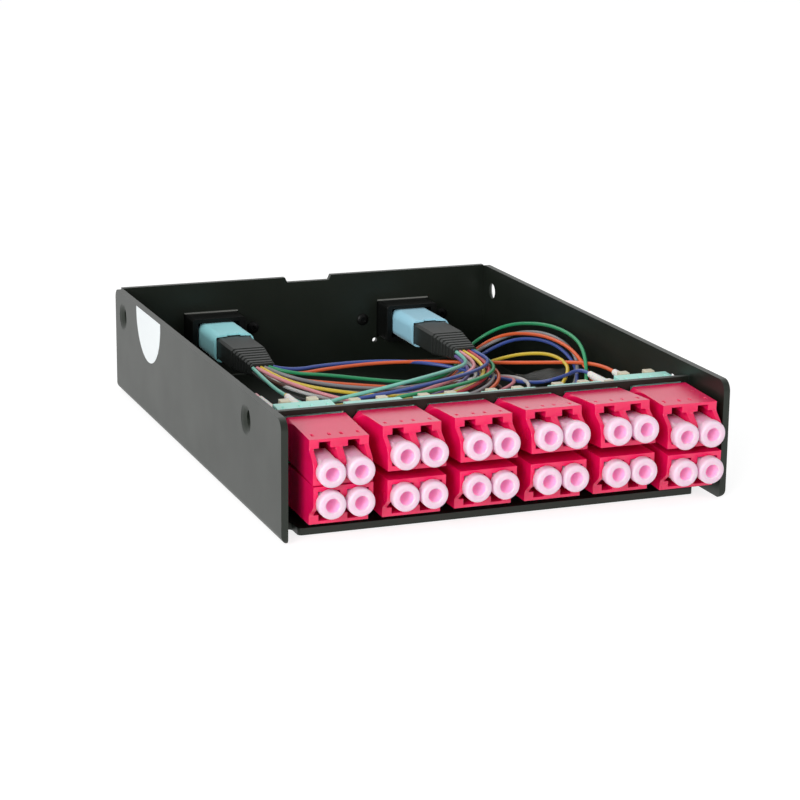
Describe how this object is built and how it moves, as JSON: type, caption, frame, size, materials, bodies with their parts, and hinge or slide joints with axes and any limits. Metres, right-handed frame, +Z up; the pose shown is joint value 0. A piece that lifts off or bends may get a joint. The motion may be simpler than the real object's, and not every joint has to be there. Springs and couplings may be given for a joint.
{
  "type": "fibre cassette",
  "caption": "Open folded-steel fibre cassette: capped LC duplex adapters in two rows at the front, MPO connectors in the back wall and loose fan-out fibres between them.",
  "frame": {"origin": "middle of the tray's underside", "axes": "+X to the right seen from the LC ports, +Y from the LC ports to the MPO wall, +Z up"},
  "size_m": [0.102, 0.1567, 0.0264],
  "materials": {
    "coated_steel": "dark green-black powder coat, satin",
    "adapter_shell": "crimson moulded plastic, satin",
    "rear_shell": "aqua moulded plastic, satin",
    "dust_plug": "pale pink soft moulded plastic",
    "lc_housing": "beige moulded plastic",
    "lc_boot": "off-white soft boot",
    "mpo_adapter": "black moulded plastic, matte",
    "mpo_sleeve": "aqua moulded plastic, semi-gloss",
    "mpo_housing": "black moulded plastic",
    "mpo_boot": "black ribbed rubber",
    "mpo_cap": "black soft cap",
    "rivet": "plain domed rivet",
    "fibre": "smooth buffered fibre in the twelve standard colours"
  },
  "bodies": {
    "cassette": {"tray": "coated_steel", "front_panel": "coated_steel", "adapter_rears_upper": "rear_shell", "adapter_rears_lower": "rear_shell", "lc_plugs_upper": "lc_housing", "lc_plugs_lower": "lc_housing", "lc_boots_upper": "lc_boot", "lc_boots_lower": "lc_boot", "mpo_rivets": "rivet", "fibres_left": "fibre", "fibres_right": "fibre", "adapter_front_upper_1": "adapter_shell", "adapter_front_upper_2": "adapter_shell", "adapter_front_upper_3": "adapter_shell", "adapter_front_upper_4": "adapter_shell", "adapter_front_upper_5": "adapter_shell", "adapter_front_upper_6": "adapter_shell", "adapter_front_lower_1": "adapter_shell", "adapter_front_lower_2": "adapter_shell", "adapter_front_lower_3": "adapter_shell", "adapter_front_lower_4": "adapter_shell", "adapter_front_lower_5": "adapter_shell", "adapter_front_lower_6": "adapter_shell", "mpo_adapter_left": "mpo_adapter", "mpo_plug_left": "mpo_housing", "mpo_boot_left": "mpo_boot", "mpo_adapter_right": "mpo_adapter", "mpo_plug_right": "mpo_housing", "mpo_boot_right": "mpo_boot"},
    "dust_plug_upper_01": {"dust_plug_upper_01": "dust_plug"},
    "dust_plug_upper_02": {"dust_plug_upper_02": "dust_plug"},
    "dust_plug_upper_03": {"dust_plug_upper_03": "dust_plug"},
    "dust_plug_upper_04": {"dust_plug_upper_04": "dust_plug"},
    "dust_plug_upper_05": {"dust_plug_upper_05": "dust_plug"},
    "dust_plug_upper_06": {"dust_plug_upper_06": "dust_plug"},
    "dust_plug_upper_07": {"dust_plug_upper_07": "dust_plug"},
    "dust_plug_upper_08": {"dust_plug_upper_08": "dust_plug"},
    "dust_plug_upper_09": {"dust_plug_upper_09": "dust_plug"},
    "dust_plug_upper_10": {"dust_plug_upper_10": "dust_plug"},
    "dust_plug_upper_11": {"dust_plug_upper_11": "dust_plug"},
    "dust_plug_upper_12": {"dust_plug_upper_12": "dust_plug"},
    "dust_plug_lower_01": {"dust_plug_lower_01": "dust_plug"},
    "dust_plug_lower_02": {"dust_plug_lower_02": "dust_plug"},
    "dust_plug_lower_03": {"dust_plug_lower_03": "dust_plug"},
    "dust_plug_lower_04": {"dust_plug_lower_04": "dust_plug"},
    "dust_plug_lower_05": {"dust_plug_lower_05": "dust_plug"},
    "dust_plug_lower_06": {"dust_plug_lower_06": "dust_plug"},
    "dust_plug_lower_07": {"dust_plug_lower_07": "dust_plug"},
    "dust_plug_lower_08": {"dust_plug_lower_08": "dust_plug"},
    "dust_plug_lower_09": {"dust_plug_lower_09": "dust_plug"},
    "dust_plug_lower_10": {"dust_plug_lower_10": "dust_plug"},
    "dust_plug_lower_11": {"dust_plug_lower_11": "dust_plug"},
    "dust_plug_lower_12": {"dust_plug_lower_12": "dust_plug"},
    "mpo_sleeve_left": {"mpo_sleeve_left": "mpo_sleeve"},
    "mpo_cap_left": {"mpo_cap_left": "mpo_cap"},
    "mpo_sleeve_right": {"mpo_sleeve_right": "mpo_sleeve"},
    "mpo_cap_right": {"mpo_cap_right": "mpo_cap"}
  },
  "joints": [
    {"name": "pull_dust_plug_upper_01", "type": "slide", "parent": "cassette", "child": "dust_plug_upper_01", "axis": [0, -0.9974, -0.0715], "range_m": [0, 0.008]},
    {"name": "pull_dust_plug_upper_02", "type": "slide", "parent": "cassette", "child": "dust_plug_upper_02", "axis": [0, -0.9974, -0.0715], "range_m": [0, 0.008]},
    {"name": "pull_dust_plug_upper_03", "type": "slide", "parent": "cassette", "child": "dust_plug_upper_03", "axis": [0, -0.9997, 0.0262], "range_m": [0, 0.008]},
    {"name": "pull_dust_plug_upper_04", "type": "slide", "parent": "cassette", "child": "dust_plug_upper_04", "axis": [0, -0.9997, 0.0262], "range_m": [0, 0.008]},
    {"name": "pull_dust_plug_upper_05", "type": "slide", "parent": "cassette", "child": "dust_plug_upper_05", "axis": [0, -0.9988, 0.0489], "range_m": [0, 0.008]},
    {"name": "pull_dust_plug_upper_06", "type": "slide", "parent": "cassette", "child": "dust_plug_upper_06", "axis": [0, -0.9988, 0.0489], "range_m": [0, 0.008]},
    {"name": "pull_dust_plug_upper_07", "type": "slide", "parent": "cassette", "child": "dust_plug_upper_07", "axis": [0, -0.9976, 0.0698], "range_m": [0, 0.008]},
    {"name": "pull_dust_plug_upper_08", "type": "slide", "parent": "cassette", "child": "dust_plug_upper_08", "axis": [0, -0.9976, 0.0698], "range_m": [0, 0.008]},
    {"name": "pull_dust_plug_upper_09", "type": "slide", "parent": "cassette", "child": "dust_plug_upper_09", "axis": [0, -0.9981, 0.061], "range_m": [0, 0.008]},
    {"name": "pull_dust_plug_upper_10", "type": "slide", "parent": "cassette", "child": "dust_plug_upper_10", "axis": [0, -0.9981, 0.061], "range_m": [0, 0.008]},
    {"name": "pull_dust_plug_upper_11", "type": "slide", "parent": "cassette", "child": "dust_plug_upper_11", "axis": [0, -0.999, -0.0454], "range_m": [0, 0.008]},
    {"name": "pull_dust_plug_upper_12", "type": "slide", "parent": "cassette", "child": "dust_plug_upper_12", "axis": [0, -0.999, -0.0454], "range_m": [0, 0.008]},
    {"name": "pull_dust_plug_lower_01", "type": "slide", "parent": "cassette", "child": "dust_plug_lower_01", "axis": [0, -0.9998, -0.0175], "range_m": [0, 0.008]},
    {"name": "pull_dust_plug_lower_02", "type": "slide", "parent": "cassette", "child": "dust_plug_lower_02", "axis": [0, -0.9998, -0.0175], "range_m": [0, 0.008]},
    {"name": "pull_dust_plug_lower_03", "type": "slide", "parent": "cassette", "child": "dust_plug_lower_03", "axis": [0, -0.9998, -0.0175], "range_m": [0, 0.008]},
    {"name": "pull_dust_plug_lower_04", "type": "slide", "parent": "cassette", "child": "dust_plug_lower_04", "axis": [0, -0.9998, -0.0175], "range_m": [0, 0.008]},
    {"name": "pull_dust_plug_lower_05", "type": "slide", "parent": "cassette", "child": "dust_plug_lower_05", "axis": [0, -1, 0], "range_m": [0, 0.008]},
    {"name": "pull_dust_plug_lower_06", "type": "slide", "parent": "cassette", "child": "dust_plug_lower_06", "axis": [0, -1, 0], "range_m": [0, 0.008]},
    {"name": "pull_dust_plug_lower_07", "type": "slide", "parent": "cassette", "child": "dust_plug_lower_07", "axis": [0, -1, 0], "range_m": [0, 0.008]},
    {"name": "pull_dust_plug_lower_08", "type": "slide", "parent": "cassette", "child": "dust_plug_lower_08", "axis": [0, -1, 0], "range_m": [0, 0.008]},
    {"name": "pull_dust_plug_lower_09", "type": "slide", "parent": "cassette", "child": "dust_plug_lower_09", "axis": [0, -1, 0], "range_m": [0, 0.008]},
    {"name": "pull_dust_plug_lower_10", "type": "slide", "parent": "cassette", "child": "dust_plug_lower_10", "axis": [0, -1, 0], "range_m": [0, 0.008]},
    {"name": "pull_dust_plug_lower_11", "type": "slide", "parent": "cassette", "child": "dust_plug_lower_11", "axis": [0, -0.9984, -0.0558], "range_m": [0, 0.008]},
    {"name": "pull_dust_plug_lower_12", "type": "slide", "parent": "cassette", "child": "dust_plug_lower_12", "axis": [0, -0.9984, -0.0558], "range_m": [0, 0.008]},
    {"name": "slide_mpo_sleeve_left", "type": "slide", "parent": "cassette", "child": "mpo_sleeve_left", "axis": [0, -1, 0], "range_m": [0, 0.0015], "stiffness_N_per_m": 1500, "springref_m": -0.001},
    {"name": "pull_mpo_cap_left", "type": "slide", "parent": "cassette", "child": "mpo_cap_left", "axis": [0, 1, 0], "range_m": [0, 0.005]},
    {"name": "slide_mpo_sleeve_right", "type": "slide", "parent": "cassette", "child": "mpo_sleeve_right", "axis": [0, -1, 0], "range_m": [0, 0.0015], "stiffness_N_per_m": 1500, "springref_m": -0.001},
    {"name": "pull_mpo_cap_right", "type": "slide", "parent": "cassette", "child": "mpo_cap_right", "axis": [0, 1, 0], "range_m": [0, 0.005]}
  ]
}
